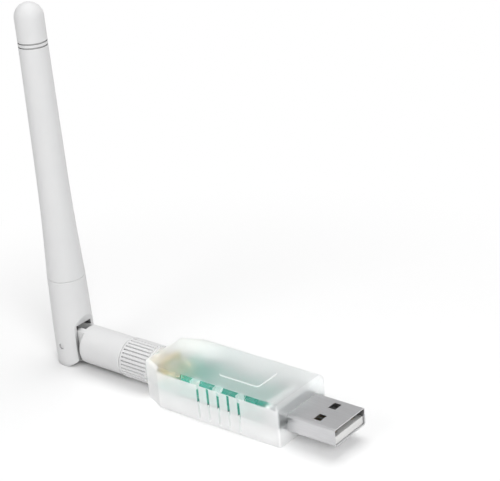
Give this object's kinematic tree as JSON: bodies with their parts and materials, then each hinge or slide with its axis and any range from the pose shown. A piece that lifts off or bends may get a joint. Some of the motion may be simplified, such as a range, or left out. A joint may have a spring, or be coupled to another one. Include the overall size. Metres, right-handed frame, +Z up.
{
  "type": "usb radio stick with folding antenna",
  "caption": "Clear plastic USB radio stick with a circuit board inside and a white screw-on rod antenna that folds and swivels at its elbow.",
  "frame": {"origin": "centre of the housing's flat underside, between its USB end and its antenna end", "axes": "+X out of the USB plug, +Y across the housing, +Z up along the antenna's mast"},
  "size_m": [0.0931, 0.0182, 0.0963],
  "materials": {
    "clear_housing": "clear polished edges and frosted faces",
    "board_teal": "teal solder resist",
    "plug_steel": "bright nickel plate",
    "plug_white": "moulded",
    "gold_plate": "gold plated",
    "ptfe_white": "waxy",
    "chip_black": "moulded epoxy",
    "crystal_can": "satin",
    "led_clear": "clear",
    "capacitor_tan": "fired ceramic",
    "resistor_black": "glazed",
    "antenna_white": "fine satin moulding",
    "coax_brown": "smooth jacket",
    "radiator_brass": "drawn",
    "spacer_foam": "closed foam"
  },
  "bodies": {
    "stick": {"upper_shell": "clear_housing", "lower_shell": "clear_housing", "circuit_board": "board_teal", "usb_plug_shell": "plug_steel", "usb_insulator": "plug_white", "usb_contact_power": "gold_plate", "usb_contact_data_minus": "gold_plate", "usb_contact_data_plus": "gold_plate", "usb_contact_ground": "gold_plate", "antenna_jack": "gold_plate", "jack_insulator": "ptfe_white", "jack_contact": "gold_plate", "radio_chip": "chip_black", "usb_bridge_chip": "chip_black", "voltage_regulator": "chip_black", "radio_crystal": "crystal_can", "clock_crystal": "crystal_can", "power_led": "led_clear", "status_led": "led_clear", "chip_capacitors": "capacitor_tan", "chip_resistors": "resistor_black"},
    "antenna_plug": {"plug_ferrule": "gold_plate", "plug_insulator": "ptfe_white", "plug_pin": "gold_plate", "lower_coax": "coax_brown"},
    "nut": {"coupling_nut": "gold_plate", "nut_grip": "antenna_white"},
    "elbow": {"elbow_barrel": "antenna_white"},
    "mast": {"mast_base": "antenna_white", "mast_sleeve": "antenna_white", "hinge_pin": "antenna_white", "upper_coax": "coax_brown", "radiator_sleeve": "radiator_brass", "radiator_wire": "radiator_brass", "lower_spacer": "spacer_foam", "upper_spacer": "spacer_foam"}
  },
  "joints": [
    {"name": "antenna_unscrew", "type": "slide", "parent": "stick", "child": "antenna_plug", "axis": [-1, 0, 0], "range_m": [0, 0.00564]},
    {"name": "nut_spin", "type": "hinge", "parent": "antenna_plug", "child": "nut", "pos_m": [-0.0279, 0, 0.00565], "axis": [-1, 0, 0], "range_deg": [0, 2881]},
    {"name": "elbow_swivel", "type": "hinge", "parent": "antenna_plug", "child": "elbow", "pos_m": [-0.0397, 0, 0.00565], "axis": [-1, 0, 0], "continuous": true},
    {"name": "antenna_fold", "type": "hinge", "parent": "elbow", "child": "mast", "pos_m": [-0.0529, 0, 0.00565], "axis": [0, -1, 0], "range_deg": [0, 90]}
  ],
  "couplings": [
    {"joint": "nut_spin", "follows": "antenna_unscrew", "rad_per_m": 8904.7}
  ]
}
